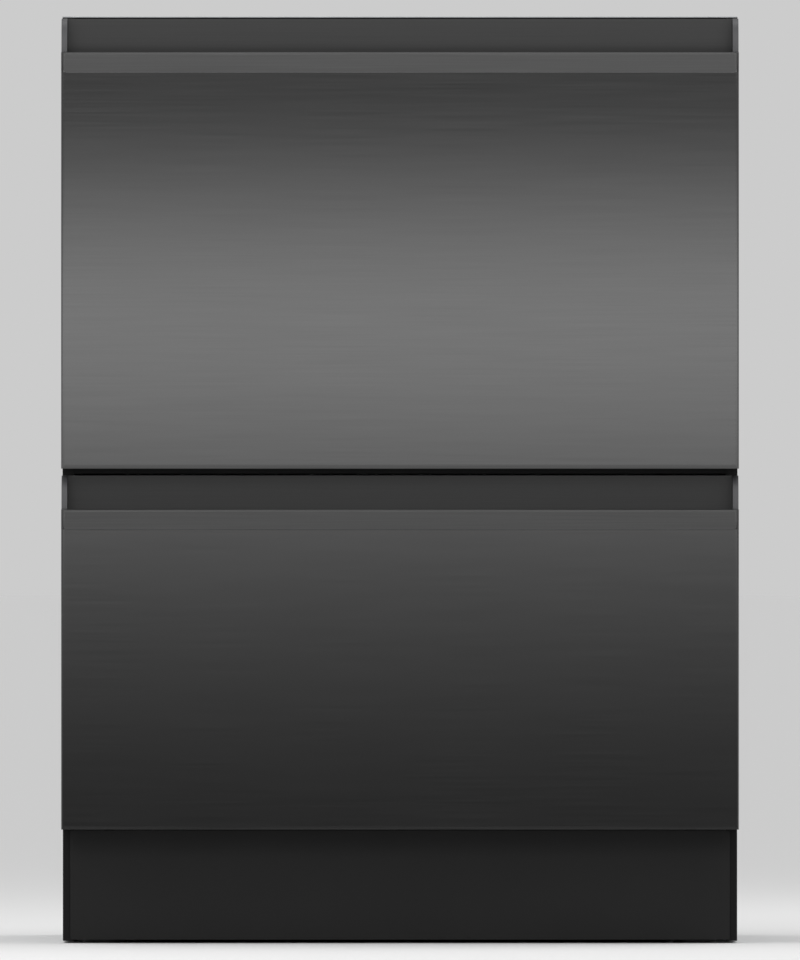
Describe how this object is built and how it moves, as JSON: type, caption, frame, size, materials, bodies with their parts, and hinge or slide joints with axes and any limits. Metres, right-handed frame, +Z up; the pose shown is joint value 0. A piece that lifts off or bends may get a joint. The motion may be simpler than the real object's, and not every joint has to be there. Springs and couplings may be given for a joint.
{
  "type": "double drawer dishwasher",
  "caption": "Built-under dishwasher in a sheet-metal chassis: stacked wash drawers on telescopic slides, with recessed lip handles, wire racks, lids that seal the tubs and a toe panel.",
  "frame": {"origin": "on the floor, under the middle of the overall box", "axes": "+Z up, -Y towards the drawer fronts, X across the width"},
  "size_m": [0.599, 0.573, 0.82],
  "materials": {
    "black_steel": "horizontally brushed, dark coated",
    "recess_steel": "horizontally brushed, dark coated",
    "trim": "fine grained",
    "liner": "moulded",
    "deck": "satin",
    "button": "satin",
    "tub": "moulded, light grey",
    "lid": "moulded, light grey",
    "seal": "matte",
    "slide_steel": "zinc plated",
    "pump": "moulded",
    "filter_steel": "perforated, satin",
    "filter_cup": "moulded",
    "spray": "moulded",
    "rack_wire": "nylon coated wire",
    "cup_wire": "nylon coated wire",
    "basket": "moulded",
    "dispenser": "moulded",
    "flap": "moulded",
    "chassis": "galvanised sheet",
    "kick": "satin black",
    "actuator": "moulded",
    "foot": "moulded",
    "module": "moulded",
    "valve": "moulded",
    "joiner": "moulded"
  },
  "bodies": {
    "chassis": {"chassis_shell": "chassis", "base_pan": "chassis", "mid_brace": "chassis", "top_sheet": "chassis", "kick_panel": "kick", "outer_rails": "slide_steel", "lid_actuators": "actuator", "power_module": "module", "water_valve": "valve", "drain_joiner": "joiner"},
    "upper_drawer": {"upper_front_panel": "black_steel", "upper_handle_recess": "recess_steel", "upper_handle_end_caps": "trim", "upper_front_liner": "liner", "upper_control_deck": "deck", "upper_tub": "tub", "upper_inner_rails": "slide_steel", "upper_wash_pump": "pump", "upper_filter_plate": "filter_steel", "upper_dish_rack": "rack_wire", "upper_cutlery_basket": "basket", "upper_dispenser": "dispenser"},
    "upper_slide_members": {"upper_mid_rails": "slide_steel"},
    "upper_lid_group": {"upper_lid": "lid", "upper_lid_seal": "seal"},
    "upper_power_key": {"upper_power_button": "button"},
    "upper_program_key": {"upper_program_button": "button"},
    "upper_start_key": {"upper_start_button": "button"},
    "upper_spray_rotor": {"upper_spray_arm": "spray"},
    "upper_filter_cup": {"upper_drain_filter": "filter_cup"},
    "upper_left_shelf": {"upper_cup_rack_left": "cup_wire"},
    "upper_right_shelf": {"upper_cup_rack_right": "cup_wire"},
    "upper_flap": {"upper_dispenser_door": "flap"},
    "lower_drawer": {"lower_front_panel": "black_steel", "lower_handle_recess": "recess_steel", "lower_handle_end_caps": "trim", "lower_front_liner": "liner", "lower_control_deck": "deck", "lower_tub": "tub", "lower_inner_rails": "slide_steel", "lower_wash_pump": "pump", "lower_filter_plate": "filter_steel", "lower_dish_rack": "rack_wire", "lower_cutlery_basket": "basket", "lower_dispenser": "dispenser"},
    "lower_slide_members": {"lower_mid_rails": "slide_steel"},
    "lower_lid_group": {"lower_lid": "lid", "lower_lid_seal": "seal"},
    "lower_power_key": {"lower_power_button": "button"},
    "lower_program_key": {"lower_program_button": "button"},
    "lower_start_key": {"lower_start_button": "button"},
    "lower_spray_rotor": {"lower_spray_arm": "spray"},
    "lower_filter_cup": {"lower_drain_filter": "filter_cup"},
    "lower_left_shelf": {"lower_cup_rack_left": "cup_wire"},
    "lower_right_shelf": {"lower_cup_rack_right": "cup_wire"},
    "lower_flap": {"lower_dispenser_door": "flap"},
    "front_left_leveller": {"foot_front_left": "foot"},
    "front_right_leveller": {"foot_front_right": "foot"},
    "rear_left_leveller": {"foot_rear_left": "foot"},
    "rear_right_leveller": {"foot_rear_right": "foot"}
  },
  "joints": [
    {"name": "upper_drawer_slide", "type": "slide", "parent": "chassis", "child": "upper_drawer", "axis": [0, -1, 0], "range_m": [0, 0.51]},
    {"name": "upper_mid_rail_slide", "type": "slide", "parent": "chassis", "child": "upper_slide_members", "axis": [0, -1, 0], "range_m": [0, 0.255]},
    {"name": "upper_lid_lower", "type": "slide", "parent": "chassis", "child": "upper_lid_group", "axis": [0, 0, -1], "range_m": [0, 0.007]},
    {"name": "upper_power_press", "type": "slide", "parent": "upper_drawer", "child": "upper_power_key", "axis": [0, 0, -1], "range_m": [0, 0.001], "stiffness_N_per_m": 600, "springref_m": -0.001},
    {"name": "upper_program_press", "type": "slide", "parent": "upper_drawer", "child": "upper_program_key", "axis": [0, 0, -1], "range_m": [0, 0.001], "stiffness_N_per_m": 600, "springref_m": -0.001},
    {"name": "upper_start_press", "type": "slide", "parent": "upper_drawer", "child": "upper_start_key", "axis": [0, 0, -1], "range_m": [0, 0.001], "stiffness_N_per_m": 600, "springref_m": -0.001},
    {"name": "upper_spray_spin", "type": "hinge", "parent": "upper_drawer", "child": "upper_spray_rotor", "pos_m": [0, 0.009, 0.494], "axis": [0, 0, 1], "continuous": true},
    {"name": "upper_filter_turn", "type": "hinge", "parent": "upper_drawer", "child": "upper_filter_cup", "pos_m": [0.048, 0.009, 0.472], "axis": [0, 0, 1], "range_deg": [0, 90]},
    {"name": "upper_left_shelf_fold", "type": "hinge", "parent": "upper_drawer", "child": "upper_left_shelf", "pos_m": [-0.233, 0.03, 0.592], "axis": [0, -1, 0], "range_deg": [0, 90]},
    {"name": "upper_right_shelf_fold", "type": "hinge", "parent": "upper_drawer", "child": "upper_right_shelf", "pos_m": [0.233, 0.03, 0.592], "axis": [0, 1, 0], "range_deg": [0, 90]},
    {"name": "upper_flap_hinge", "type": "hinge", "parent": "upper_drawer", "child": "upper_flap", "pos_m": [-0.184, -0.1937, 0.7017], "axis": [-1, 0, 0], "range_deg": [0, 90]},
    {"name": "lower_drawer_slide", "type": "slide", "parent": "chassis", "child": "lower_drawer", "axis": [0, -1, 0], "range_m": [0, 0.51]},
    {"name": "lower_mid_rail_slide", "type": "slide", "parent": "chassis", "child": "lower_slide_members", "axis": [0, -1, 0], "range_m": [0, 0.255]},
    {"name": "lower_lid_lower", "type": "slide", "parent": "chassis", "child": "lower_lid_group", "axis": [0, 0, -1], "range_m": [0, 0.007]},
    {"name": "lower_power_press", "type": "slide", "parent": "lower_drawer", "child": "lower_power_key", "axis": [0, 0, -1], "range_m": [0, 0.001], "stiffness_N_per_m": 600, "springref_m": -0.001},
    {"name": "lower_program_press", "type": "slide", "parent": "lower_drawer", "child": "lower_program_key", "axis": [0, 0, -1], "range_m": [0, 0.001], "stiffness_N_per_m": 600, "springref_m": -0.001},
    {"name": "lower_start_press", "type": "slide", "parent": "lower_drawer", "child": "lower_start_key", "axis": [0, 0, -1], "range_m": [0, 0.001], "stiffness_N_per_m": 600, "springref_m": -0.001},
    {"name": "lower_spray_spin", "type": "hinge", "parent": "lower_drawer", "child": "lower_spray_rotor", "pos_m": [0, 0.009, 0.1752], "axis": [0, 0, 1], "continuous": true},
    {"name": "lower_filter_turn", "type": "hinge", "parent": "lower_drawer", "child": "lower_filter_cup", "pos_m": [0.048, 0.009, 0.1532], "axis": [0, 0, 1], "range_deg": [0, 90]},
    {"name": "lower_left_shelf_fold", "type": "hinge", "parent": "lower_drawer", "child": "lower_left_shelf", "pos_m": [-0.233, 0.03, 0.2732], "axis": [0, -1, 0], "range_deg": [0, 90]},
    {"name": "lower_right_shelf_fold", "type": "hinge", "parent": "lower_drawer", "child": "lower_right_shelf", "pos_m": [0.233, 0.03, 0.2732], "axis": [0, 1, 0], "range_deg": [0, 90]},
    {"name": "lower_flap_hinge", "type": "hinge", "parent": "lower_drawer", "child": "lower_flap", "pos_m": [-0.184, -0.1937, 0.2982], "axis": [-1, 0, 0], "range_deg": [0, 90]},
    {"name": "front_left_level", "type": "slide", "parent": "chassis", "child": "front_left_leveller", "axis": [0, 0, -1], "range_m": [0, 0.06]},
    {"name": "front_right_level", "type": "slide", "parent": "chassis", "child": "front_right_leveller", "axis": [0, 0, -1], "range_m": [0, 0.06]},
    {"name": "rear_left_level", "type": "slide", "parent": "chassis", "child": "rear_left_leveller", "axis": [0, 0, -1], "range_m": [0, 0.06]},
    {"name": "rear_right_level", "type": "slide", "parent": "chassis", "child": "rear_right_leveller", "axis": [0, 0, -1], "range_m": [0, 0.06]}
  ],
  "couplings": [
    {"joint": "upper_mid_rail_slide", "follows": "upper_drawer_slide", "ratio": 0.5},
    {"joint": "lower_mid_rail_slide", "follows": "lower_drawer_slide", "ratio": 0.5}
  ]
}
